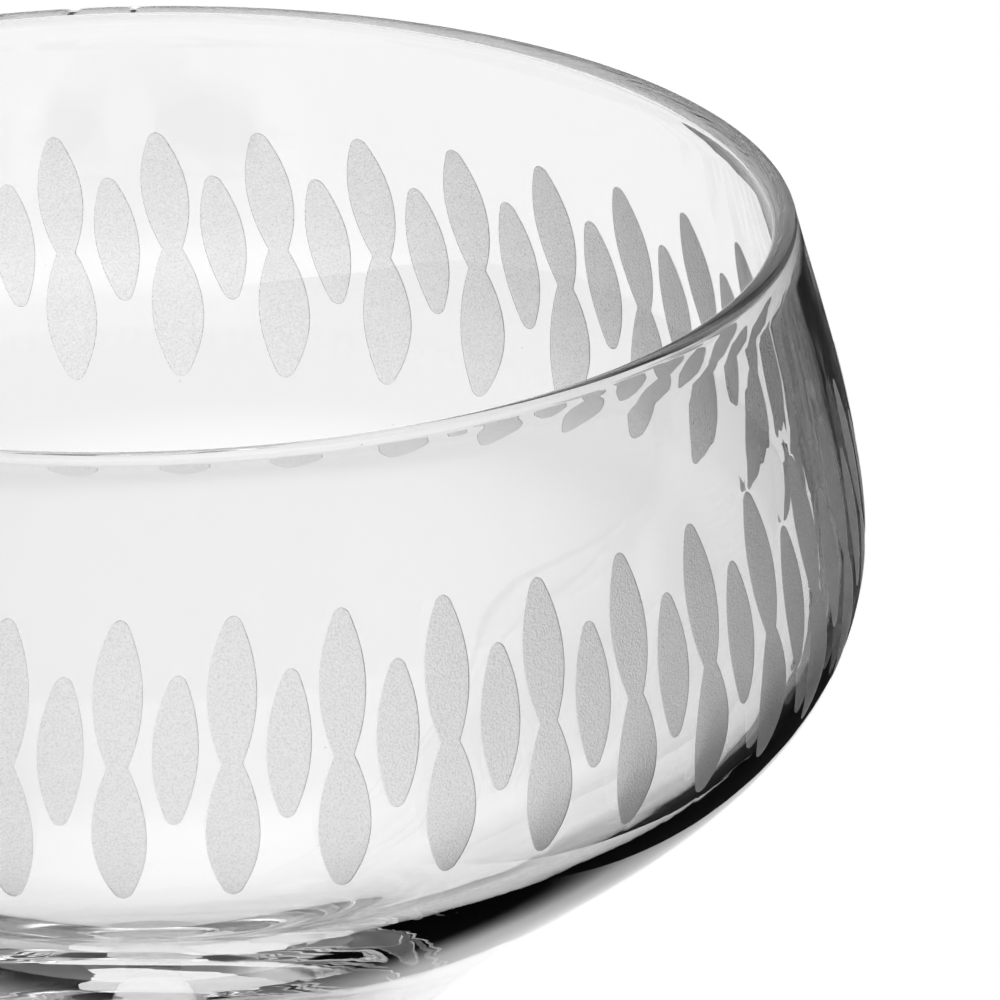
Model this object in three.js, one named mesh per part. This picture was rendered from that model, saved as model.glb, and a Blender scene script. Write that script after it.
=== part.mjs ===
// Margarita glass: a blown bowl, a drawn stem and a pressed foot, fused hot end to end.
// Lengths are millimetres, angles are degrees, +Z is up and z = 0 is the table top.
import * as THREE from 'three';

// Whole glass
const GLASS_HEIGHT = 165; // table to the top of the lip
const FACETS = 84; // facets round every revolved piece

// Bowl, outside: drops are measured down from the top of the lip
const LIP_CIRCLE_RADIUS = 49; // circle through the middle of the fire-polished lip
const LIP_ROUND = 0.95; // half the thickness of the lip
const WALL_LEAN = 14.6; // how far the wall leans in at the lip
const BELLY_RADIUS = 55; // widest place
const BELLY_DROP = 25.5;
const KEEL_RADIUS = 31.7; // place where the underside stops bulging and starts to flare
const KEEL_DROP = 53.3;
const KEEL_LEAN = 51; // lean of the underside there, from upright
const NECK_RADIUS = 4.6; // where the drawn neck of the bowl meets the stem
const NECK_DROP = 88;

// Bowl, inside
const BELLY_WALL = 1.6; // glass thickness at the widest place
const KEEL_WALL = 2.6; // glass thickness over the keel
const FLOOR_DISH = 15; // how far the inside floor sinks below the keel

// Stem and foot
const STEM_RADIUS = 3.9; // slimmest place
const STEM_SLIM_SHARE = 0.5; // where that is, as a share of the stem from the foot
const FOOT_RADIUS = 39;
const FOOT_EDGE_ROUND = 1.15; // half the thickness of the foot at its edge
const FOOT_LAND = 5; // width of the flat ring that the glass stands on
const FOOT_KICK = 0.9; // hollow under the middle of the foot
const FOOT_NECK_RADIUS = 5.2; // where the foot meets the stem
const FOOT_NECK_HEIGHT = 12;
const FOOT_SLOPE = 6; // rise of the top of the foot at its edge

// Shares of a span that shape the curves between two places
const EASY_PULL = 0.3;
const FULL_PULL = 0.49;
const KEEL_PULL = 0.4;

const CLEAR_GLASS = new THREE.MeshStandardMaterial({
  color: '#dfe9ea',
  roughness: 0.05,
  metalness: 0,
});

const point = (radius, height) => new THREE.Vector2(radius, height);
const radians = THREE.MathUtils.degToRad;

// A direction in the half plane of the profile, leaning outwards from straight up
const leaning = (degrees) => point(Math.sin(radians(degrees)), Math.cos(radians(degrees)));

// A smooth stretch of profile that leaves one place and reaches the next along given directions
function stretch(from, leave, leavePull, to, reach, reachPull, steps) {
  const first = from.clone().addScaledVector(leave, leavePull);
  const last = to.clone().addScaledVector(reach, -reachPull);
  return new THREE.CubicBezierCurve(from, first, last, to).getPoints(steps);
}

// Stretches laid end to end, without the doubled places
function chain(...stretches) {
  const outline = [];
  for (const places of stretches) {
    for (const place of places) {
      const last = outline[outline.length - 1];
      if (!last || last.distanceTo(place) > 1e-6) {
        outline.push(place);
      }
    }
  }
  return outline;
}

// Outlines run down the outside, and the lathe turns its faces outwards on one that runs up
function revolve(name, outline) {
  const geometry = new THREE.LatheGeometry(outline.reverse(), FACETS);
  geometry.rotateX(Math.PI / 2);
  const mesh = new THREE.Mesh(geometry, CLEAR_GLASS);
  mesh.name = name;
  return mesh;
}

const UP = point(0, 1);
const DOWN = point(0, -1);
const OUT = point(1, 0);
const IN = point(-1, 0);

// Places shared by neighbouring pieces
const bowlSeam = GLASS_HEIGHT - NECK_DROP;
const footSeam = FOOT_NECK_HEIGHT;

function bowlOutline() {
  const alongWall = leaning(-WALL_LEAN);
  const downWall = alongWall.clone().negate();
  const acrossWall = point(alongWall.y, -alongWall.x);
  const lipMiddle = point(LIP_CIRCLE_RADIUS, GLASS_HEIGHT - LIP_ROUND);
  const lipInside = lipMiddle.clone().addScaledVector(acrossWall, -LIP_ROUND);
  const lipOutside = lipMiddle.clone().addScaledVector(acrossWall, LIP_ROUND);

  const bellyHeight = GLASS_HEIGHT - BELLY_DROP;
  const bellyOutside = point(BELLY_RADIUS, bellyHeight);
  const bellyInside = point(BELLY_RADIUS - BELLY_WALL, bellyHeight);

  const downKeel = leaning(KEEL_LEAN).negate();
  const upKeel = leaning(KEEL_LEAN);
  const intoGlass = point(downKeel.y, -downKeel.x);
  const keelOutside = point(KEEL_RADIUS, GLASS_HEIGHT - KEEL_DROP);
  const keelInside = keelOutside.clone().addScaledVector(intoGlass, KEEL_WALL);
  const floor = point(0, keelInside.y - FLOOR_DISH);
  const neck = point(NECK_RADIUS, bowlSeam);

  const wallSpan = lipOutside.y - bellyHeight;
  const outsideDrop = bellyHeight - keelOutside.y;
  const outsideSpan = bellyOutside.distanceTo(keelOutside);
  const insideDrop = bellyHeight - keelInside.y;
  const insideSpan = bellyInside.distanceTo(keelInside);
  const neckSpan = keelOutside.distanceTo(neck);
  const neckDrop = keelOutside.y - neck.y;
  const floorSpan = floor.distanceTo(keelInside);

  const inside = chain(
    stretch(floor, OUT, floorSpan * FULL_PULL, keelInside, upKeel, floorSpan * EASY_PULL, 7),
    stretch(keelInside, upKeel, insideSpan * KEEL_PULL, bellyInside, UP, insideDrop * FULL_PULL, 7),
    stretch(bellyInside, UP, wallSpan * EASY_PULL, lipInside, alongWall, wallSpan * EASY_PULL, 4),
  );
  const lipTop = Math.PI / 2;
  const lip = new THREE.Path();
  lip.absarc(lipMiddle.x, lipMiddle.y, LIP_ROUND, Math.PI + radians(WALL_LEAN), lipTop, true);
  lip.absarc(lipMiddle.x, lipMiddle.y, LIP_ROUND, lipTop, radians(WALL_LEAN), true);
  const outside = chain(
    stretch(lipOutside, downWall, wallSpan * EASY_PULL, bellyOutside, DOWN, wallSpan * EASY_PULL, 5),
    stretch(bellyOutside, DOWN, outsideDrop * FULL_PULL, keelOutside, downKeel, outsideSpan * KEEL_PULL, 8),
    stretch(keelOutside, downKeel, neckSpan * EASY_PULL, neck, DOWN, neckDrop * EASY_PULL, 7),
  );
  return chain(inside, lip.getPoints(2), outside, [point(0, bowlSeam)]);
}

function stemOutline() {
  const top = point(NECK_RADIUS, bowlSeam);
  const bottom = point(FOOT_NECK_RADIUS, footSeam);
  const slim = point(STEM_RADIUS, footSeam + (bowlSeam - footSeam) * STEM_SLIM_SHARE);
  const upper = (top.y - slim.y) * EASY_PULL;
  const lower = (slim.y - bottom.y) * EASY_PULL;
  return chain(
    [point(0, top.y)],
    stretch(top, DOWN, upper, slim, DOWN, upper, 5),
    stretch(slim, DOWN, lower, bottom, DOWN, lower, 5),
    [point(0, bottom.y)],
  );
}

function footOutline() {
  const edgeRadius = FOOT_RADIUS - FOOT_EDGE_ROUND;
  const landInside = point(edgeRadius - FOOT_LAND, 0);
  const hollow = point(0, FOOT_KICK);
  const neck = point(FOOT_NECK_RADIUS, footSeam);
  const edgeTop = point(edgeRadius, 2 * FOOT_EDGE_ROUND);
  const upSlope = leaning(FOOT_SLOPE - 90);
  const topSpan = edgeTop.distanceTo(neck);
  const edge = new THREE.Path();
  edge.absarc(edgeRadius, FOOT_EDGE_ROUND, FOOT_EDGE_ROUND, Math.PI / 2, -Math.PI / 2, true);
  const top = stretch(neck, DOWN, (neck.y - edgeTop.y) * FULL_PULL,
    edgeTop, upSlope.clone().negate(), topSpan * FULL_PULL, 10);
  const under = stretch(landInside, IN, landInside.x * EASY_PULL,
    hollow, IN, landInside.x * EASY_PULL, 5);
  return chain([point(0, neck.y)], top, edge.getPoints(3), under);
}

const glass = new THREE.Group();
glass.name = 'margarita_glass';
glass.add(revolve('bowl', bowlOutline()));
glass.add(revolve('stem', stemOutline()));
glass.add(revolve('foot', footOutline()));

export default glass;
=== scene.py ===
# %% [markdown]
# # A margarita glass
# The glass is a wide blown bowl on a drawn stem and a pressed foot, with a frieze of sand-frosted
# petals round the bowl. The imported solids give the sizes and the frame. This lesson models finer
# pieces in the same places, gives them glass that behaves like glass, and lights them as a
# photographer would: a bright field behind, with dark at the sides to draw the edges.

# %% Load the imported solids
import math

import bpy
import numpy as np
from mathutils import Matrix, Vector


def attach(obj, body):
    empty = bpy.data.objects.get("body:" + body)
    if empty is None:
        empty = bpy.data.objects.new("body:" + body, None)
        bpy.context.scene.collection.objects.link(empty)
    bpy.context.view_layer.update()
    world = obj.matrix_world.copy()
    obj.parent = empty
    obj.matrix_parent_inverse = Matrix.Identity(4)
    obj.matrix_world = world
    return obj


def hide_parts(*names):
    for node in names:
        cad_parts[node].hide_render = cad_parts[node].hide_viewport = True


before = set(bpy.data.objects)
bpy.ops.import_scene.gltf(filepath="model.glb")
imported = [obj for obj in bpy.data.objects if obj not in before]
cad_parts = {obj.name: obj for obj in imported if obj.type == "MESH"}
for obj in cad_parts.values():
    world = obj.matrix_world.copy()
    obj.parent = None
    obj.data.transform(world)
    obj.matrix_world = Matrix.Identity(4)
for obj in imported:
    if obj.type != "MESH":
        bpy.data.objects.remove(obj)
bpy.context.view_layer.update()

# %% [markdown]
# ## The outline
# A glass is a turned form, so everything starts from one outline in the half plane of radius and
# height. The sizes are those of the solids, in metres. Drops are measured down from the top of the
# lip. Each stretch of outline leaves one place and reaches the next along a chosen direction, which
# keeps the light running smoothly over the joins, and its pulls are shares of a span: the larger
# they are, the fuller the curve.

# %% Sizes of the glass
MM = 0.001
GLASS_HEIGHT = 165 * MM
LIP_CIRCLE_RADIUS = 49 * MM
LIP_ROUND = 0.95 * MM
WALL_LEAN = math.radians(14.6)
BELLY_RADIUS = 55 * MM
BELLY_DROP = 25.5 * MM
KEEL_RADIUS = 31.7 * MM
KEEL_DROP = 53.3 * MM
KEEL_LEAN = math.radians(51)
NECK_RADIUS = 4.6 * MM
NECK_DROP = 88 * MM
BELLY_WALL = 1.6 * MM
KEEL_WALL = 2.6 * MM
FLOOR_DISH = 15 * MM
STEM_RADIUS = 3.9 * MM
FOOT_RADIUS = 39 * MM
FOOT_EDGE_ROUND = 1.15 * MM
FOOT_LAND = 5 * MM
FOOT_KICK = 0.9 * MM
FOOT_NECK_RADIUS = 5.2 * MM
FOOT_NECK_HEIGHT = 12 * MM
FOOT_SLOPE = math.radians(6)
EASY_PULL = 0.3
FULL_PULL = 0.49
KEEL_PULL = 0.4
BOWL_SEAM = GLASS_HEIGHT - NECK_DROP
UP = np.array((0.0, 1.0))
OUT = np.array((1.0, 0.0))
print("height", GLASS_HEIGHT, "belly", 2 * BELLY_RADIUS, "foot", 2 * FOOT_RADIUS)

# %% A smooth stretch of outline
SAME_PLACE = 1e-8


def place(radius, height):
    """A place in the half plane of radius and height."""
    return np.array((radius, height))


def leaning(angle):
    """The direction that leans outwards from straight up by an angle."""
    return place(math.sin(angle), math.cos(angle))


def stretch(start, leave, leave_pull, end, reach, reach_pull, steps):
    """Places from start to end, leaving and reaching them along the given directions."""
    first = start + leave * leave_pull
    last = end - reach * reach_pull
    along = np.linspace(0, 1, steps + 1)[:, None]
    back = 1 - along
    return (back ** 3 * start + 3 * back ** 2 * along * first
            + 3 * back * along ** 2 * last + along ** 3 * end)


def arc(middle, radius, start_angle, end_angle, steps):
    """Places round part of a circle."""
    angles = np.linspace(start_angle, end_angle, steps + 1)
    return np.stack((middle[0] + radius * np.cos(angles),
                     middle[1] + radius * np.sin(angles)), axis=1)


def chain(*stretches):
    """Stretches laid end to end, without the doubled places."""
    joined = [stretches[0][0]]
    for places in stretches:
        for spot in places:
            if np.hypot(*(spot - joined[-1])) > SAME_PLACE:
                joined.append(spot)
    return np.array(joined)


print("outline tools ready")

# %% [markdown]
# ## Spinning an outline
# Stem and foot are turned forms. A cylinder pulled into shape ring by ring would do, and so would a
# Screw modifier on a curve. Here one vertex is extruded from place to place along the outline and
# the chain is spun round the axis, as a turner works: the outline stays the only thing to change,
# and the mesh comes out closed.

# %% Draw an outline and spin it
AROUND = 168
MERGE_DISTANCE = 5e-7
SOFT_EDGE = math.radians(40)


def deselect_all():
    """A new object should be the only one selected."""
    bpy.ops.object.select_all(action="DESELECT")


def spin_piece(name, outline):
    """One vertex, extruded along the outline and spun round the axis."""
    deselect_all()
    bpy.ops.mesh.primitive_plane_add(size=MM)
    piece = bpy.context.object
    piece.name = piece.data.name = name
    bpy.ops.object.mode_set(mode="EDIT")
    bpy.ops.mesh.select_all(action="SELECT")
    bpy.ops.mesh.merge(type="CENTER")
    here = np.zeros(2)
    for number, spot in enumerate(outline):
        step = (spot[0] - here[0], 0.0, spot[1] - here[1])
        if number == 0:
            bpy.ops.transform.translate(value=step)
        else:
            bpy.ops.mesh.extrude_region_move(TRANSFORM_OT_translate={"value": step})
        here = spot
    bpy.ops.mesh.select_all(action="SELECT")
    bpy.ops.mesh.spin(steps=AROUND, angle=2 * math.pi, center=(0, 0, 0), axis=(0, 0, 1))
    bpy.ops.mesh.select_all(action="SELECT")
    bpy.ops.mesh.remove_doubles(threshold=MERGE_DISTANCE)
    bpy.ops.mesh.normals_make_consistent(inside=False)
    bpy.ops.object.mode_set(mode="OBJECT")
    bpy.ops.object.shade_smooth_by_angle(angle=SOFT_EDGE)
    print(name, "faces:", len(piece.data.polygons))
    return piece


# %% [markdown]
# ## The stem
# On the real glass a lump of hot glass is drawn down into a rod, so it is slimmest half way and
# widens where it was joined. A plain cylinder would look like a stick. Two stretches of outline,
# upright where they meet, give the slow waist, and flat ends sit where it is fused to its
# neighbours.

# %% The stem
STEM_STEPS = 16
stem_top = place(NECK_RADIUS, BOWL_SEAM)
stem_bottom = place(FOOT_NECK_RADIUS, FOOT_NECK_HEIGHT)
stem_slim = place(STEM_RADIUS, (BOWL_SEAM + FOOT_NECK_HEIGHT) / 2)
stem_pull = (stem_top[1] - stem_slim[1]) * EASY_PULL
stem_outline = chain(
    [place(0, BOWL_SEAM)],
    stretch(stem_top, -UP, stem_pull, stem_slim, -UP, stem_pull, STEM_STEPS),
    stretch(stem_slim, -UP, stem_pull, stem_bottom, -UP, stem_pull, STEM_STEPS),
    [place(0, FOOT_NECK_HEIGHT)],
)
stem = spin_piece("drawn_stem", stem_outline)

# %% [markdown]
# ## The foot
# The foot is a disc pressed in hot glass, with a fire-polished edge, a flat ring to stand on and a
# slightly hollow underside, so that it doesn't rock. A squashed sphere has no ring and no hollow.
# The same spin makes all three from one outline, and the flare up to the stem comes with it.

# %% The foot
FOOT_TOP_STEPS = 40
FOOT_EDGE_STEPS = 16
FOOT_HOLLOW_STEPS = 20
edge_radius = FOOT_RADIUS - FOOT_EDGE_ROUND
foot_neck = place(FOOT_NECK_RADIUS, FOOT_NECK_HEIGHT)
edge_top = place(edge_radius, 2 * FOOT_EDGE_ROUND)
land_inside = place(edge_radius - FOOT_LAND, 0)
foot_hollow = place(0, FOOT_KICK)
foot_span = np.hypot(*(edge_top - foot_neck))
down_slope = leaning(math.radians(90) + FOOT_SLOPE)
land_pull = land_inside[0] * EASY_PULL
foot_outline = chain(
    [place(0, FOOT_NECK_HEIGHT)],
    stretch(foot_neck, -UP, (foot_neck[1] - edge_top[1]) * FULL_PULL,
            edge_top, down_slope, foot_span * FULL_PULL, FOOT_TOP_STEPS),
    arc(place(edge_radius, FOOT_EDGE_ROUND), FOOT_EDGE_ROUND, math.pi / 2, -math.pi / 2, FOOT_EDGE_STEPS),
    stretch(land_inside, -OUT, land_pull, foot_hollow, -OUT, land_pull, FOOT_HOLLOW_STEPS),
)
foot = spin_piece("pressed_foot", foot_outline)

# %% [markdown]
# ## The outline of the bowl
# The bowl is blown: wide at the belly, leaning in at the lip and thick where it runs down into the
# stem. It needs two outlines, because most of what shows in clear glass is light bent between the
# outside and the inside. A Solidify modifier would keep one thickness everywhere. Here the wall
# grows from the belly to the keel, the place where the underside stops bulging and starts to flare.

# %% Places of the bowl
up_wall = leaning(-WALL_LEAN)
across_wall = place(up_wall[1], -up_wall[0])
lip_middle = place(LIP_CIRCLE_RADIUS, GLASS_HEIGHT - LIP_ROUND)
lip_outside = lip_middle + across_wall * LIP_ROUND
belly_height = GLASS_HEIGHT - BELLY_DROP
belly_outside = place(BELLY_RADIUS, belly_height)
belly_inside = place(BELLY_RADIUS - BELLY_WALL, belly_height)
up_keel = leaning(KEEL_LEAN)
into_glass = place(-up_keel[1], up_keel[0])
keel_outside = place(KEEL_RADIUS, GLASS_HEIGHT - KEEL_DROP)
keel_inside = keel_outside + into_glass * KEEL_WALL
bowl_floor = place(0, keel_inside[1] - FLOOR_DISH)
bowl_neck = place(NECK_RADIUS, BOWL_SEAM)
print("belly", belly_outside, "keel", keel_outside, "floor", bowl_floor)

# %% The outside of the bowl
WALL_STEPS = 400
NECK_STEPS = 16
wall_span = lip_outside[1] - belly_height
outside_drop = belly_height - keel_outside[1]
outside_span = np.hypot(*(belly_outside - keel_outside))
neck_span = np.hypot(*(keel_outside - bowl_neck))
neck_drop = keel_outside[1] - bowl_neck[1]
wall_outline = chain(
    stretch(lip_outside, -up_wall, wall_span * EASY_PULL,
            belly_outside, -UP, wall_span * EASY_PULL, WALL_STEPS),
    stretch(belly_outside, -UP, outside_drop * FULL_PULL,
            keel_outside, -up_keel, outside_span * KEEL_PULL, WALL_STEPS),
)
neck_outline = stretch(keel_outside, -up_keel, neck_span * EASY_PULL,
                       bowl_neck, -UP, neck_drop * EASY_PULL, NECK_STEPS)


def wall_radius(drop):
    """Outside radius of the wall at a distance below the top of the lip."""
    heights = wall_outline[::-1, 1]
    return np.interp(GLASS_HEIGHT - drop, heights, wall_outline[::-1, 0])


print("outside radius 10 mm under the lip:", wall_radius(10 * MM))

# %% [markdown]
# ## The lip and the inside
# When the blown top is cracked off, the edge is melted in a flame and draws up into a small bead, a
# little thicker than the wall under it. A bevelled edge would have flats. An arc that goes past
# half a circle, and then eases into the thinner throat, gives the bright and dark lines that the
# eye reads as a fire-polished lip.

# %% The lip and the inside
LIP_TUCK = math.radians(16)
THROAT_DROP = 3.2 * MM
THROAT_WALL = 1.6 * MM
LIP_STEPS = 28
FLOOR_STEPS = 16
BELLY_STEPS = 20
THROAT_STEPS = 10
throat_outside = place(wall_radius(THROAT_DROP), GLASS_HEIGHT - THROAT_DROP)
up_throat = place(wall_radius(THROAT_DROP - MM) - wall_radius(THROAT_DROP + MM), 2 * MM)
up_throat = up_throat / np.hypot(*up_throat)
throat_inside = throat_outside - place(up_throat[1], -up_throat[0]) * THROAT_WALL
lip_outline = arc(lip_middle, LIP_ROUND, math.pi + WALL_LEAN + LIP_TUCK, WALL_LEAN, LIP_STEPS)
up_tuck = leaning(-WALL_LEAN - LIP_TUCK)
bead_span = np.hypot(*(lip_outline[0] - throat_inside))
throat_span = throat_inside[1] - belly_height
inside_drop = belly_height - keel_inside[1]
inside_span = np.hypot(*(belly_inside - keel_inside))
floor_span = np.hypot(*(bowl_floor - keel_inside))
inside_outline = chain(
    stretch(bowl_floor, OUT, floor_span * FULL_PULL,
            keel_inside, up_keel, floor_span * EASY_PULL, FLOOR_STEPS),
    stretch(keel_inside, up_keel, inside_span * KEEL_PULL,
            belly_inside, UP, inside_drop * FULL_PULL, BELLY_STEPS),
    stretch(belly_inside, UP, throat_span * EASY_PULL,
            throat_inside, up_throat, throat_span * EASY_PULL, THROAT_STEPS),
    stretch(throat_inside, up_throat, bead_span * EASY_PULL,
            lip_outline[0], up_tuck, bead_span * EASY_PULL, THROAT_STEPS),
)
print("lip", lip_outside, "throat", throat_inside)

# %% [markdown]
# ## The frieze
# The frieze alternates an hourglass, made of two stacked petals, with a single almond. On the real
# glass they are blasted through a stencil, which leaves a shallow pit with a crisp rim. Cutters
# and a boolean would leave ragged faces on a curved wall. So the bowl is modelled as one narrow
# gore, a grid whose upright lines bend to follow the petals' rims, and the gore is copied round
# the axis like the segments of an orange.

# %% The petals of one repeat
# Each lobe has its upper end, widest place and lower end as distances below the lip, and its half
# widths at those three places.
REPEATS = 42
WAIST_DROP = 22.3 * MM
WAIST_HALF = 0.76 * MM
UPPER_LOBE = {"rows": (11.6 * MM, 17.25 * MM, WAIST_DROP), "half": (0.42 * MM, 1.785 * MM, WAIST_HALF)}
LOWER_LOBE = {"rows": (WAIST_DROP, 27.75 * MM, 33.05 * MM), "half": (WAIST_HALF, 1.985 * MM, 0.44 * MM)}
ALMOND = {"rows": (15.65 * MM, 21.2 * MM, 26.78 * MM), "half": (0.42 * MM, 1.665 * MM, 0.42 * MM)}
TIP_ROUND = 0.42 * MM
TIP_FLAT = 0.07 * MM
RELAX = 3.2 * MM
EVEN_SHARE = 0.125


def lobe_half(lobe, drop):
    """Half the width of a lobe at a distance below the lip, without its rounded tips."""
    upper, widest, lower = lobe["rows"]
    upper_half, widest_half, lower_half = lobe["half"]
    if drop < widest:
        return widest_half - (widest_half - upper_half) * ((widest - drop) / (widest - upper)) ** 2
    return widest_half - (widest_half - lower_half) * ((drop - widest) / (lower - widest)) ** 2


def tip_share(inside):
    """How much of the width is left near a rounded tip."""
    if inside >= TIP_ROUND:
        return 1.0
    return math.sqrt(max(0.0, 1 - (1 - inside / TIP_ROUND) ** 2))


def petal_half(lobes, drop):
    """Half the spacing of the two grid lines that follow a petal's rim, petal or no petal."""
    top = lobes[0]["rows"][0]
    bottom = lobes[-1]["rows"][2]
    even = EVEN_SHARE * 2 * math.pi * wall_radius(drop) / REPEATS
    away = max(top - drop, drop - bottom)
    if away > 0:
        ease = min(1.0, away / RELAX)
        ease = ease * ease * (3 - 2 * ease)
        return TIP_FLAT + (even - TIP_FLAT) * ease
    lobe = lobes[0] if drop <= lobes[0]["rows"][2] else lobes[-1]
    half = lobe_half(lobe, drop) * tip_share(min(drop - top, bottom - drop))
    return max(half, TIP_FLAT)


HOURGLASS = (UPPER_LOBE, LOWER_LOBE)
SINGLE = (ALMOND,)
print("half width of the waist:", petal_half(HOURGLASS, WAIST_DROP))
print("half width of the almond:", petal_half(SINGLE, ALMOND["rows"][1]))

# %% [markdown]
# ## A grid that follows the petals
# The tips of the petals are round, so the rows of the grid crowd together at each tip and lie
# further apart elsewhere. Subdividing the whole wall would need ten times the faces for the same
# rim. The upright lines swing out to the petals' half widths inside the frieze, and relax to even
# steps above and below it.

# %% Rows of the gore
TIP_STEPS = np.array((0, 0.04, 0.12, 0.24, 0.42)) * MM
ROWS_ABOVE = np.array((2.6, 4.6, 6.6, 8.4, 10.0, 11.0)) * MM
ROWS_BELOW = np.array((33.6, 34.6, 36, 37.5, 39, 41, 43, 45, 47, 49, 51)) * MM
ROW_STEP = 0.62 * MM
hourglass_top, hourglass_bottom = UPPER_LOBE["rows"][0], LOWER_LOBE["rows"][2]
almond_top, almond_bottom = ALMOND["rows"][0], ALMOND["rows"][2]
marks = [ROWS_ABOVE, hourglass_top + TIP_STEPS, almond_top + TIP_STEPS, np.array((WAIST_DROP,)),
         almond_bottom - TIP_STEPS, hourglass_bottom - TIP_STEPS, ROWS_BELOW]
marks = np.unique(np.round(np.concatenate(marks), 9))
wall_drops = [marks[0]]
for mark in marks[1:]:
    gap = mark - wall_drops[-1]
    inside_frieze = hourglass_top - MM < mark < hourglass_bottom + MM
    parts = max(1, math.ceil(gap / ROW_STEP - 0.01)) if inside_frieze else 1
    for part in range(1, parts + 1):
        wall_drops.append(mark - gap * (1 - part / parts))
wall_drops = np.array(wall_drops)
wall_rows = np.stack((wall_radius(wall_drops), GLASS_HEIGHT - wall_drops), axis=1)
gore_rows = np.concatenate((inside_outline, lip_outline[1:], wall_rows, neck_outline,
                            [place(0, BOWL_SEAM)]))
first_wall_row = len(inside_outline) + len(lip_outline) - 1
print("rows:", len(gore_rows), "of which on the wall", len(wall_drops))

# %% Upright lines of the gore
CELLS = 12
STOP_CELLS = (0, 1, 3, 5, 6, 7, 9, 11, 12)
HOURGLASS_CELLS = range(1, 5)
ALMOND_CELLS = range(7, 11)
ALMOND_LEAN = math.radians(0.0333) / MM


def upright_lines(row):
    """Turns from the middle of the hourglass, in repeats, where the upright lines cross a row."""
    number = row - first_wall_row
    if not 0 <= number < len(wall_drops):
        return np.linspace(-0.25, 0.75, CELLS + 1)
    drop = wall_drops[number]
    repeat = 2 * math.pi * wall_radius(drop) / REPEATS
    hourglass = petal_half(HOURGLASS, drop) / repeat
    almond = petal_half(SINGLE, drop) / repeat
    gap = (0.5 + hourglass - almond) / 2
    near_almond = max(0.0, 1 - max(almond_top - drop, drop - almond_bottom, 0) / RELAX)
    lean = ALMOND_LEAN * (WAIST_DROP - drop) * near_almond * REPEATS / (2 * math.pi)
    stops = (-gap, -hourglass, 0, hourglass, gap,
             0.5 + lean - almond, 0.5 + lean, 0.5 + lean + almond, 1 - gap)
    return np.interp(np.arange(CELLS + 1), STOP_CELLS, stops)


print("lines at the lip:", np.round(upright_lines(first_wall_row), 3))

# %% Model the gore
HOURGLASS_TURN = math.radians(-2.19)
gaps = len(gore_rows) - 1
deselect_all()
bpy.ops.mesh.primitive_grid_add(x_subdivisions=CELLS, y_subdivisions=gaps, size=1)
bowl = bpy.context.object
bowl.name = bowl.data.name = "blown_bowl"


def rows_between(top, bottom):
    """The rows of faces on the wall that lie between two distances below the lip."""
    first, last = np.searchsorted(wall_drops, (top - SAME_PLACE, bottom - SAME_PLACE))
    return range(first_wall_row + first, first_wall_row + last)


hourglass_rows = rows_between(hourglass_top, hourglass_bottom)
almond_rows = rows_between(almond_top, almond_bottom)
petal_faces = []
for face in bowl.data.polygons:
    cell = math.floor((face.center.x + 0.5) * CELLS)
    row = math.floor((face.center.y + 0.5) * gaps)
    in_hourglass = cell in HOURGLASS_CELLS and row in hourglass_rows
    in_almond = cell in ALMOND_CELLS and row in almond_rows
    if in_hourglass or in_almond:
        petal_faces.append(face.index)
print("gore faces:", len(bowl.data.polygons), "in petals:", len(petal_faces))

# %% Bend the gore
for vertex in bowl.data.vertices:
    line = round((vertex.co.x + 0.5) * CELLS)
    row = round((vertex.co.y + 0.5) * gaps)
    turn = upright_lines(row)[line] * 2 * math.pi / REPEATS
    angle = HOURGLASS_TURN - math.pi / 2 + turn
    radius, height = gore_rows[row]
    vertex.co = (radius * math.cos(angle), radius * math.sin(angle), height)
bowl.data.update()
print("widest radius of the gore:", max(vertex.co.xy.length for vertex in bowl.data.vertices))

# %% [markdown]
# ## Sinking the petals
# Sand takes away a few hundredths of a millimetre. A bump map would shade the pit, but without the
# thin step that glints along its rim. Inset moves the rim in and the floor of the pit down in one
# go, and it is done once, on the gore, before the gore is copied.

# %% Sink the petals
PIT_RIM = 0.06 * MM
PIT_DEPTH = 0.035 * MM
clear_slot = bpy.data.materials.new("clear_bowl")
frosted_slot = bpy.data.materials.new("frosted_petals")
bowl.data.materials.append(clear_slot)
bowl.data.materials.append(frosted_slot)
bpy.ops.object.mode_set(mode="EDIT")
bpy.ops.mesh.select_mode(type="FACE")
bpy.ops.mesh.select_all(action="DESELECT")
bpy.ops.object.mode_set(mode="OBJECT")
for index in petal_faces:
    bowl.data.polygons[index].select = True
sample = bowl.data.polygons[petal_faces[0]]
faces_out = sample.normal.xy.dot(sample.center.xy) > 0
print("petal faces point out:", faces_out)
bpy.ops.object.mode_set(mode="EDIT")
bowl.active_material_index = 1
bpy.ops.object.material_slot_assign()
bpy.ops.mesh.inset(thickness=PIT_RIM, depth=-PIT_DEPTH if faces_out else PIT_DEPTH)

# %% [markdown]
# ## Round the axis
# Forty-two gores make the bowl. An Array modifier would need a second object to hold its turn. Spin
# with copies turns the same faces about the axis, and merging the doubled vertices along the seams
# closes the mesh.

# %% Copy the gore round the axis
RIM_EDGE = math.radians(25)
bpy.ops.mesh.select_all(action="SELECT")
bpy.ops.mesh.spin(steps=REPEATS - 1, angle=2 * math.pi * (REPEATS - 1) / REPEATS,
                  center=(0, 0, 0), axis=(0, 0, 1), dupli=True)
bpy.ops.mesh.select_all(action="SELECT")
bpy.ops.mesh.remove_doubles(threshold=MERGE_DISTANCE)
bpy.ops.mesh.normals_make_consistent(inside=False)
bpy.ops.object.mode_set(mode="OBJECT")
bpy.ops.object.shade_smooth_by_angle(angle=RIM_EDGE)
print("bowl faces:", len(bowl.data.polygons), "vertices:", len(bowl.data.vertices))

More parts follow.
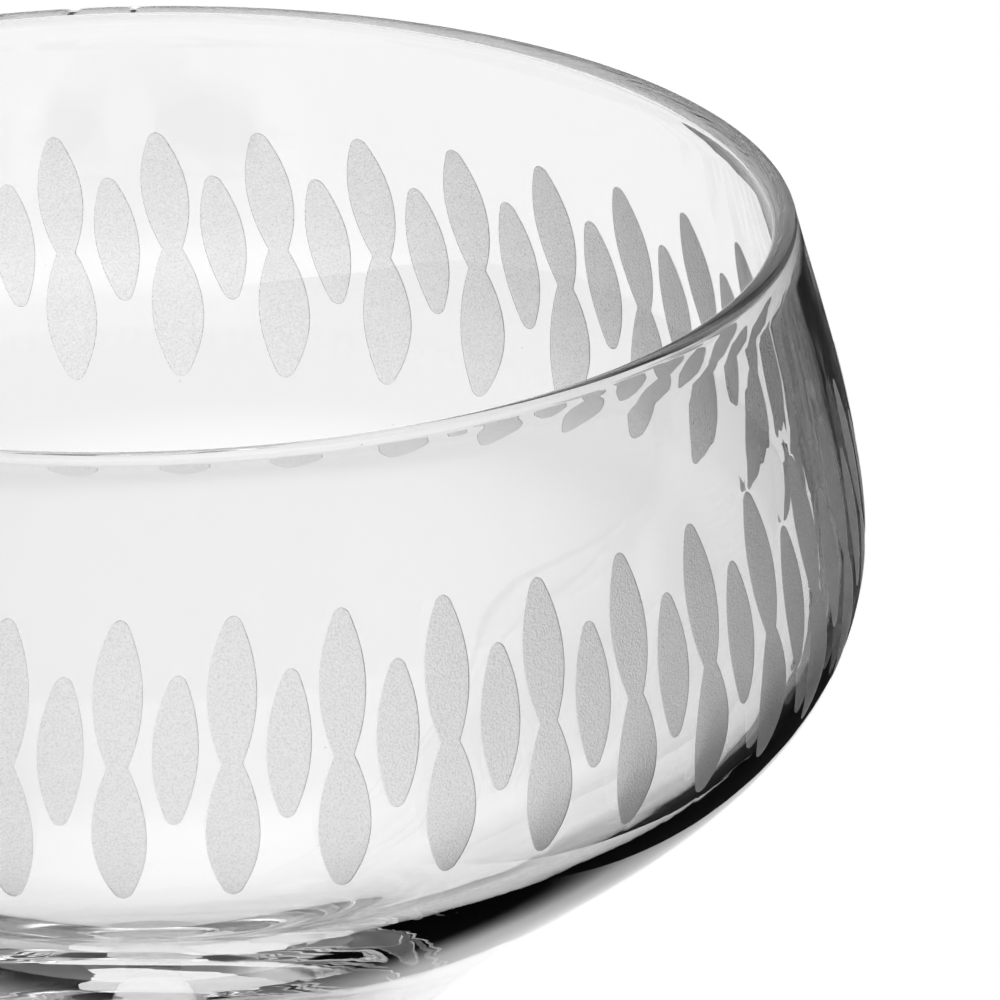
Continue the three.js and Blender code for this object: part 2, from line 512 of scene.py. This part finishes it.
# %% [markdown]
# ## A stencil laid by hand
# The stencil is a soft band that is wrapped on by hand, so the petals of the real glass don't stand
# quite evenly: here and there they lean, sit lower or are turned by a degree or two. Perfect copies
# would look printed. The wall's vertices are moved along the wall alone, by amounts that change
# slowly round the glass, so the outline stays as it was.

# %% Let the frieze drift
# Each station: where it is, in degrees from the front towards the right; then the turn of the petals
# in degrees, their lean in degrees for each millimetre of height, and their lift in millimetres.
STATIONS = np.array((
    (-130, 0.0, 0.03, 0.0),
    (-70, -0.2, 0.0, 0.0),
    (-15, -0.4, -0.01, 0.1),
    (10, 0.0, 0.03, 0.1),
    (35, 0.1, 0.0, -0.6),
    (60, -0.2, -0.06, -0.5),
    (85, -1.4, -0.06, 0.3),
    (110, -2.5, -0.02, 0.8),
    (135, -2.6, 0.05, 0.7),
    (160, -1.8, 0.09, 0.3),
    (185, -0.4, 0.08, 0.0),
))
BOW = 0.0026
LEAN_REACH = 13
FADE_DROPS = np.array((2.6, 10, 34.5, 51)) * MM
NEAR_WALL = 0.3 * MM
spots = np.empty(len(bowl.data.vertices) * 3)
bowl.data.vertices.foreach_get("co", spots)
spots = spots.reshape(-1, 3)
radii = np.hypot(spots[:, 0], spots[:, 1])
drops = GLASS_HEIGHT - spots[:, 2]
sunk = wall_radius(drops) - radii
on_wall = (np.abs(sunk) < NEAR_WALL) & (drops > FADE_DROPS[0]) & (drops < FADE_DROPS[-1])
fade = np.interp(drops, FADE_DROPS, (0, 1, 1, 0)) * on_wall
turns = np.degrees(np.arctan2(spots[:, 1], spots[:, 0])) + 90
turn, lean, lift = (np.interp(turns, STATIONS[:, 0], amounts, period=360) for amounts in STATIONS.T[1:])
above_waist = (WAIST_DROP - drops) / MM
drift = turn + lean * np.clip(above_waist, -LEAN_REACH, LEAN_REACH)
drift = drift + BOW * np.minimum(above_waist, LEAN_REACH) ** 2
angles = np.radians(turns - 90 + drift * fade)
new_drops = drops - lift * MM * fade
new_radii = np.where(on_wall, wall_radius(new_drops) - sunk, radii)
spots[:, 0] = new_radii * np.cos(angles)
spots[:, 1] = new_radii * np.sin(angles)
spots[:, 2] = GLASS_HEIGHT - new_drops
bowl.data.vertices.foreach_set("co", spots.ravel())
bowl.data.update()
print("wall vertices that drift:", int(on_wall.sum()))

# %% [markdown]
# ## Finishes
# A finish is a small graph of nodes, and its sums are easier to read as Python than as a row of
# linked boxes. So one small class wraps a node's output, wires can be added and multiplied like
# numbers, and one function adds a node together with its settings and its links.

# %% A wrapped socket
class Wire:
    """A node's output that can be used in sums."""

    def __init__(self, tree, socket):
        self.tree = tree
        self.socket = socket

    def node(self, kind, settings=None, out=0, **sockets):
        return make_node(self.tree, kind, settings, out, **sockets)

    def math(self, operation, first, second):
        return self.node("ShaderNodeMath", {"operation": operation}, **{"0": first, "1": second})

    def __add__(self, other):
        return self.math("ADD", self, other)

    def __radd__(self, other):
        return self.math("ADD", other, self)

    def __sub__(self, other):
        return self.math("SUBTRACT", self, other)

    def __rsub__(self, other):
        return self.math("SUBTRACT", other, self)

    def __mul__(self, other):
        return self.math("MULTIPLY", self, other)

    def __rmul__(self, other):
        return self.math("MULTIPLY", other, self)


# %% Add nodes
def feed(node, **sockets):
    """Sets sockets, by name or number, to plain values or links them to wires."""
    for name, value in sockets.items():
        socket = node.inputs[int(name)] if name.isdigit() else node.inputs[name.replace("_", " ")]
        if isinstance(value, Wire):
            value.tree.links.new(value.socket, socket)
        else:
            socket.default_value = value


def make_node(tree, kind, settings=None, out=0, **sockets):
    """Adds a node: its settings first, then values or links for its sockets."""
    node = tree.nodes.new(kind)
    for name, value in (settings or {}).items():
        setattr(node, name, value)
    feed(node, **sockets)
    return None if out is None else Wire(tree, node.outputs[out])


def start_finish(material):
    """Empties a material's graph; gives its one shader and the places on the surface, in metres."""
    material.use_nodes = True
    tree = material.node_tree
    tree.nodes.clear()
    surface = make_node(tree, "ShaderNodeBsdfPrincipled")
    make_node(tree, "ShaderNodeOutputMaterial", out=None, Surface=surface)
    spot = make_node(tree, "ShaderNodeTexCoord", out="Object")
    return surface.socket.node, spot


# %% Shorthands for a finish
def ramp(value, start, end):
    """A soft step from 0 to 1."""
    return value.node("ShaderNodeMapRange", {"interpolation_type": "SMOOTHSTEP"}, 0, Value=value,
                      From_Min=start, From_Max=end, To_Min=0.0, To_Max=1.0)


def grey(shade):
    """A colour with the same red, green and blue."""
    return shade.node("ShaderNodeCombineColor", None, 0, Red=shade, Green=shade, Blue=shade)


def coordinate(spot, axis):
    """One coordinate of a place."""
    return spot.node("ShaderNodeSeparateXYZ", None, axis, Vector=spot)


def cloudy(spot, size, detail):
    """Soft noise between 0 and 1, with clouds of a given size."""
    return spot.node("ShaderNodeTexNoise", None, "Fac", Vector=spot, Scale=1 / size, Detail=detail)


print("finish tools ready")

# %% [markdown]
# ## The rims of the petals
# Where the stencil ends, the sand chips the glass and leaves a broken edge, and the thin dark line
# along it is painted shade in the frosted colour. A picture of the frieze would need unwrapping and
# would blur from close up. The vertices that touch both clear and frosted faces are that line, so
# they get the value 1 in an attribute, and the frosted finish reads it.

# %% Mark the rims of the petals
faces = bowl.data.polygons
face_finish = np.empty(len(faces), dtype=np.int32)
faces.foreach_get("material_index", face_finish)
corner_counts = np.empty(len(faces), dtype=np.int32)
faces.foreach_get("loop_total", corner_counts)
corners = np.empty(len(bowl.data.loops), dtype=np.int32)
bowl.data.loops.foreach_get("vertex_index", corners)
corner_finish = np.repeat(face_finish, corner_counts)
touches_clear = np.zeros(len(bowl.data.vertices), dtype=bool)
touches_clear[corners[corner_finish == 0]] = True
touches_frost = np.zeros(len(bowl.data.vertices), dtype=bool)
touches_frost[corners[corner_finish == 1]] = True
on_rim = (touches_clear & touches_frost).astype(np.float32)
rim = bowl.data.attributes.new("rim", "FLOAT", "POINT")
rim.data.foreach_set("value", on_rim)
print("vertices on rims:", int(on_rim.sum()))

# %% [markdown]
# ## Clear glass
# Blown glass has a very slow ripple from the blowing, and it is never free of dust. A mix of a
# see-through and a mirror shader can't bend light, so it would miss the dark lines that the wall
# draws. Full transmission with the index of glass bends it. The colour is a little under white,
# because each pass through a surface costs some light, and the ripple fades out under the lip,
# where the flame has smoothed it.

# %% Clear glass
GLASS_INDEX = 1.5
GLASS_TINT = 0.91
RIPPLE_DEPTH = 0.1 * MM
RIPPLE_ENDS = (GLASS_HEIGHT - 16 * MM, GLASS_HEIGHT - 4 * MM)
SPECK_SPACING = 3.8 * MM
SPECK_SIZE = 0.07 * MM
SPECK_SHADE = 0.55


def clear_glass(material, ripple):
    """Clear glass with a slow ripple of a given length and a few specks of dust."""
    shader, spot = start_finish(material)
    calm = 1.0 - ramp(coordinate(spot, "Z"), *RIPPLE_ENDS)
    swell = calm * (cloudy(spot, ripple, 1.0) - 0.5)
    normal = spot.node("ShaderNodeBump", None, "Normal", Strength=1.0, Distance=RIPPLE_DEPTH, Height=swell)
    to_speck = spot.node("ShaderNodeTexVoronoi", None, "Distance", Vector=spot, Scale=1 / SPECK_SPACING)
    speck_reach = SPECK_SIZE / SPECK_SPACING
    speck = 1.0 - ramp(to_speck, speck_reach / 2, speck_reach)
    feed(shader, Base_Color=grey(GLASS_TINT - SPECK_SHADE * speck), Normal=normal, Roughness=0.0,
         IOR=GLASS_INDEX, Transmission_Weight=1.0)
    print(material.name, "ripple", ripple)


stem_glass = bpy.data.materials.new("clear_stem")
foot_glass = bpy.data.materials.new("clear_foot")
stem.data.materials.append(stem_glass)
foot.data.materials.append(foot_glass)
clear_glass(clear_slot, ripple=22 * MM)
clear_glass(stem_glass, ripple=14 * MM)
clear_glass(foot_glass, ripple=18 * MM)

# %% [markdown]
# ## Frosted glass
# Sand-blasted glass is still glass, only its surface is a field of tiny pits that scatter light.
# White paint would look chalky and shut out the light from behind. High roughness lets the light
# through but spreads it, and one fine grain drives colour, roughness and height together, so the
# petals sparkle a little from close up.

# %% Frosted glass
GRAIN = 0.16 * MM
GRAIN_DEPTH = 0.07 * MM
GRAIN_SHADE = 1.0
FROST_SHADE = 0.9
PIT_SHADE = 0.2
PIT_LEVELS = (0.62, 0.78)
RIM_PAINTED_SHADE = 0.15
FROST_ROUGHNESS = 0.42
GRAIN_ROUGHNESS = 0.2


def frosted_glass(material):
    """Sand-blasted glass: a fine grain of pits, and a broken line of painted shade along the stencil's
    edge.
    """
    shader, spot = start_finish(material)
    grain = cloudy(spot, GRAIN, 2.0)
    ragged = cloudy(spot, 2 * GRAIN, 1.0)
    pits = ramp(grain, *PIT_LEVELS)
    edge = spot.node("ShaderNodeAttribute", {"attribute_name": "rim"}, "Fac")
    # The rim term is painted shade: a ragged dark line on the vertices of each petal's rim.
    shade = FROST_SHADE + GRAIN_SHADE * (grain - 0.5) - PIT_SHADE * pits - RIM_PAINTED_SHADE * (edge * ragged)
    normal = spot.node("ShaderNodeBump", None, "Normal", Strength=1.0, Distance=GRAIN_DEPTH, Height=grain)
    feed(shader, Base_Color=grey(shade), Roughness=FROST_ROUGHNESS + GRAIN_ROUGHNESS * grain,
         Normal=normal, IOR=GLASS_INDEX, Transmission_Weight=1.0)
    print(material.name, "grain", GRAIN)


frosted_glass(frosted_slot)

# %% [markdown]
# ## Fused seams
# Bowl, stem and foot were melted together, so the real glass has no surface between them. Joining
# the three meshes would lose the pieces that the frame knows. Instead the flat ends that meet get
# a finish with no alpha, and light crosses them as if nothing were there.

# %% Open the seams
FLAT = 0.999
SEAM_REACH = 1e-6
seam = bpy.data.materials.new("fused_seam")
seam_shader = start_finish(seam)[0]
feed(seam_shader, Alpha=0.0)


def open_seams(piece, heights):
    """Gives the flat ends that are fused to a neighbour the see-through seam finish."""
    piece.data.materials.append(seam)
    number = len(piece.data.materials) - 1
    found = 0
    for face in piece.data.polygons:
        flat = abs(face.normal.z) > FLAT
        if flat and any(abs(face.center.z - height) < SEAM_REACH for height in heights):
            face.material_index = number
            found += 1
    print(piece.name, "seam faces:", found)


open_seams(bowl, [BOWL_SEAM])
open_seams(stem, [BOWL_SEAM, FOOT_NECK_HEIGHT])
open_seams(foot, [FOOT_NECK_HEIGHT])

# %% [markdown]
# ## On the frame
# Each piece takes the place of one imported solid. Nothing moves on a glass, so all three ride on
# the root and need no joint of their own.

# %% Ride on the frame
for piece, node, slot in ((bowl, "bowl", "bowl_glass"), (stem, "stem", "stem_glass"),
                          (foot, "foot", "foot_glass")):
    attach(piece, "root")
    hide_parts(node)
    print(piece.name, "takes the place of", node)

# %% [markdown]
# ## The light table
# The photo is high key: the glass stands on something pale that burns out to white. A white floor
# under a lamp would show the shadow of the glass, and the photo has none. So the table glows a
# little by itself, most in front of the glass, where the light comes from that the low front of
# the bowl bends to the eye. It lies a hair under the foot, because two surfaces in one place
# flicker.

# %% The light table
TABLE_SIZE = 16.0
TABLE_GAP = 0.1 * MM
TABLE_SHADE = 0.88
CLOUD_SHADE = 0.04
CLOUD_SIZE = 0.11
BACK_GLOW = 0.28
FRONT_GLOW = 1.3
FAR_FADE = (-0.5, -0.15)
NEAR_FADE = (-0.13, -0.05)
deselect_all()
bpy.ops.mesh.primitive_plane_add(size=TABLE_SIZE, location=(0, 0, -TABLE_GAP))
bpy.ops.object.transform_apply(location=True, rotation=False, scale=False)
table = bpy.context.object
table.name = table.data.name = "light_table"
acrylic = bpy.data.materials.new("pale_acrylic")
table.data.materials.append(acrylic)
shader, spot = start_finish(acrylic)
depth = coordinate(spot, "Y")
front_glow = FRONT_GLOW * ramp(depth, *FAR_FADE)
in_front = 1.0 - ramp(depth, *NEAR_FADE)
glow = BACK_GLOW + (front_glow - BACK_GLOW) * in_front
shade = TABLE_SHADE + CLOUD_SHADE * cloudy(spot, CLOUD_SIZE, 3.0)
feed(shader, Base_Color=grey(shade), Roughness=0.9, Specular_IOR_Level=0.0,
     Emission_Color=grey(glow), Emission_Strength=1.0)
print("table", TABLE_SIZE, "m wide")

# %% [markdown]
# ## The studio
# Glass shows what stands round it. This studio has a soft box overhead, dim walls and a lighter
# patch low at the left. Lamps would leave hard-edged reflections in the bowl. A sky painted by
# direction leaves soft ones, and it lights the table evenly.

# %% The studio
BACK_SKY = 0.06
FRONT_SKY = 0.3
LEFT_SKY = 0.9
HIGH_SKY = 2.5
BACK_FADE = (-0.4, 0.5)
LEFT_FADE = (-0.42, -0.2)
LOW_FADE = (0.2, 0.4)
BOX_FADE = (0.62, 1.0)
BOX_TILT = 0.2
world = bpy.data.worlds.new("studio")
bpy.context.scene.world = world
world.use_nodes = True
sky = world.node_tree
sky.nodes.clear()
towards = make_node(sky, "ShaderNodeTexCoord", out="Generated")
aside = coordinate(towards, "X")
height = coordinate(towards, "Z")
back = ramp(coordinate(towards, "Y"), *BACK_FADE)
left = 1.0 - ramp(aside, *LEFT_FADE)
low = 1.0 - ramp(height, *LOW_FADE)
overhead = ramp(height - BOX_TILT * aside, *BOX_FADE)
horizon = FRONT_SKY - (FRONT_SKY - BACK_SKY) * back + LEFT_SKY * (left * low * back)
dome = make_node(sky, "ShaderNodeBackground", Strength=horizon + (HIGH_SKY - horizon) * overhead)
make_node(sky, "ShaderNodeOutputWorld", out=None, Surface=dome)
bpy.context.scene.view_settings.view_transform = "Standard"
print("sky nodes:", len(sky.nodes))

# %% [markdown]
# ## Long light paths
# Light runs down inside the wall as in a fibre and turns many times before it leaves the glass. With
# the usual few turns it is lost on the way, and the wall fills with black dashes.

# %% Long light paths
paths = bpy.context.scene.cycles
paths.max_bounces = 48
paths.glossy_bounces = 24
paths.transmission_bounces = 36
print("turns allowed:", paths.max_bounces)

# %% [markdown]
# ## Dark cards
# On a white field the edges of a glass vanish, so a photographer stands dark cards just out of the
# picture, and the glass draws its edges with them. A darker studio would turn the whole bowl grey.
# The cards throw no shadow and show only in the glass. A card with a hard end would cut a line
# through the wall, so each thins out towards its near end.

# %% Dark cards
CARD_LIFT = 2 * MM
FELT_FIBRE = 1.1 * MM


def velvet(name, shade, fibre):
    """A new dark, dull material; gives it with its shader and the places on the surface."""
    material = bpy.data.materials.new(name)
    shader, spot = start_finish(material)
    uneven = 0.6 + 0.8 * cloudy(spot, fibre, 2.0)
    feed(shader, Base_Color=grey(shade * uneven), Roughness=1.0, Specular_IOR_Level=0.0)
    return material, shader, spot


def dark_card(name, start, end, height, shade, feather):
    """A card that stands on the table between two places and shows only in the glass."""
    deselect_all()
    bpy.ops.mesh.primitive_plane_add(size=1)
    card = bpy.context.object
    card.name = card.data.name = name
    corners = ((*start, CARD_LIFT), (*end, CARD_LIFT), (*start, height), (*end, height))
    for vertex, corner in zip(card.data.vertices, corners):
        vertex.co = corner
    card.data.update()
    felt, shader, spot = velvet(name + "_felt", shade, FELT_FIBRE)
    feed(shader, Alpha=ramp(coordinate(spot, "Y"), start[1], start[1] + feather))
    card.data.materials.append(felt)
    card.visible_camera = False
    card.visible_diffuse = False
    card.visible_shadow = False
    print(name, "from", start, "to", end)


dark_card("right_card", (0.076, -0.1), (0.125, 0.56), height=0.2, shade=0.02, feather=0.12)
dark_card("left_card", (-0.1, -0.3), (-0.24, 0.3), height=0.14, shade=0.2, feather=0.05)

# %% [markdown]
# ## A painted dark reflection round the foot
# The underside of the bowl mirrors the table round the foot, and in the photo that mirror image is
# black. A dark table would also darken what is seen through the bowl. So a disc of near-black
# velvet lies round the foot, with a hole for the foot, and only mirrored light sees it: it is a
# painted dark reflection.

# %% Painted dark reflection round the foot
DISC_RADIUS = 0.12
DISC_MIDDLE = (0.03, 0.0, 0.0)
DISC_LIFT = 0.4 * MM
DARK_REFLECTION_SHADE = 0.015
DISC_PILE = 0.8 * MM
DISC_FADE = (0.06, 0.112)
DISC_HOLE = (FOOT_RADIUS, FOOT_RADIUS + 1.5 * MM)
deselect_all()
bpy.ops.mesh.primitive_circle_add(vertices=64, radius=DISC_RADIUS, fill_type="NGON",
                                  location=(DISC_MIDDLE[0], DISC_MIDDLE[1], DISC_LIFT))
bpy.ops.object.transform_apply(location=True, rotation=False, scale=False)
reflection_disc = bpy.context.object
reflection_disc.name = reflection_disc.data.name = "painted_dark_reflection"
pile, shader, spot = velvet("dark_reflection_velvet", DARK_REFLECTION_SHADE, DISC_PILE)
reflection_disc.data.materials.append(pile)


def distance(spot, middle):
    """How far each place is from a middle."""
    ends = {"0": spot, "1": middle}
    return spot.node("ShaderNodeVectorMath", {"operation": "DISTANCE"}, "Value", **ends)


inside = 1.0 - ramp(distance(spot, DISC_MIDDLE), *DISC_FADE)
feed(shader, Alpha=inside * ramp(distance(spot, (0.0, 0.0, 0.0)), *DISC_HOLE))
# Only mirrored light sees the disc, so it paints a dark reflection into the underside of the bowl and
# nothing else.
reflection_disc.visible_camera = False
reflection_disc.visible_diffuse = False
reflection_disc.visible_transmission = False
reflection_disc.visible_shadow = False
print("reflection_disc", DISC_RADIUS, "round", DISC_MIDDLE)

# %% [markdown]
# ## The camera
# The picture was taken from about a metre away and twenty degrees above the lip, and it is a close
# crop. The ellipse of the lip, the edge of the belly and the steps of the frieze fix where the
# camera stood. It could be aimed by an empty with a constraint. Pan, pitch and roll are used
# instead, because each of them can be corrected alone.

# %% The camera
IMAGE_SIDE = 1000
FOCAL_PIXELS = 13169.3
SENSOR_WIDTH = 36
CAMERA_BACK = 934.93 * MM
CAMERA_ABOVE_LIP = 340.51 * MM
PAN = math.radians(1.6674)
PITCH = math.radians(21.2606)
ROLL = math.radians(-0.7219)
ahead = Vector((math.sin(PAN) * math.cos(PITCH), math.cos(PAN) * math.cos(PITCH), -math.sin(PITCH)))
level = Vector((math.cos(PAN), -math.sin(PAN), 0))
above = level.cross(ahead)
right = math.cos(ROLL) * level + math.sin(ROLL) * above
top = -math.sin(ROLL) * level + math.cos(ROLL) * above
lens = bpy.data.cameras.new("photo_camera")
lens.sensor_fit = "HORIZONTAL"
lens.sensor_width = SENSOR_WIDTH
lens.lens = FOCAL_PIXELS / IMAGE_SIDE * SENSOR_WIDTH
lens.clip_end = 100
camera = bpy.data.objects.new("photo_camera", lens)
bpy.context.scene.collection.objects.link(camera)
axes = Matrix((right, top, -ahead)).transposed().to_4x4()
camera.matrix_world = Matrix.Translation((0, -CAMERA_BACK, GLASS_HEIGHT + CAMERA_ABOVE_LIP)) @ axes
bpy.context.scene.camera = camera
print("lens", round(lens.lens, 1), "mm")
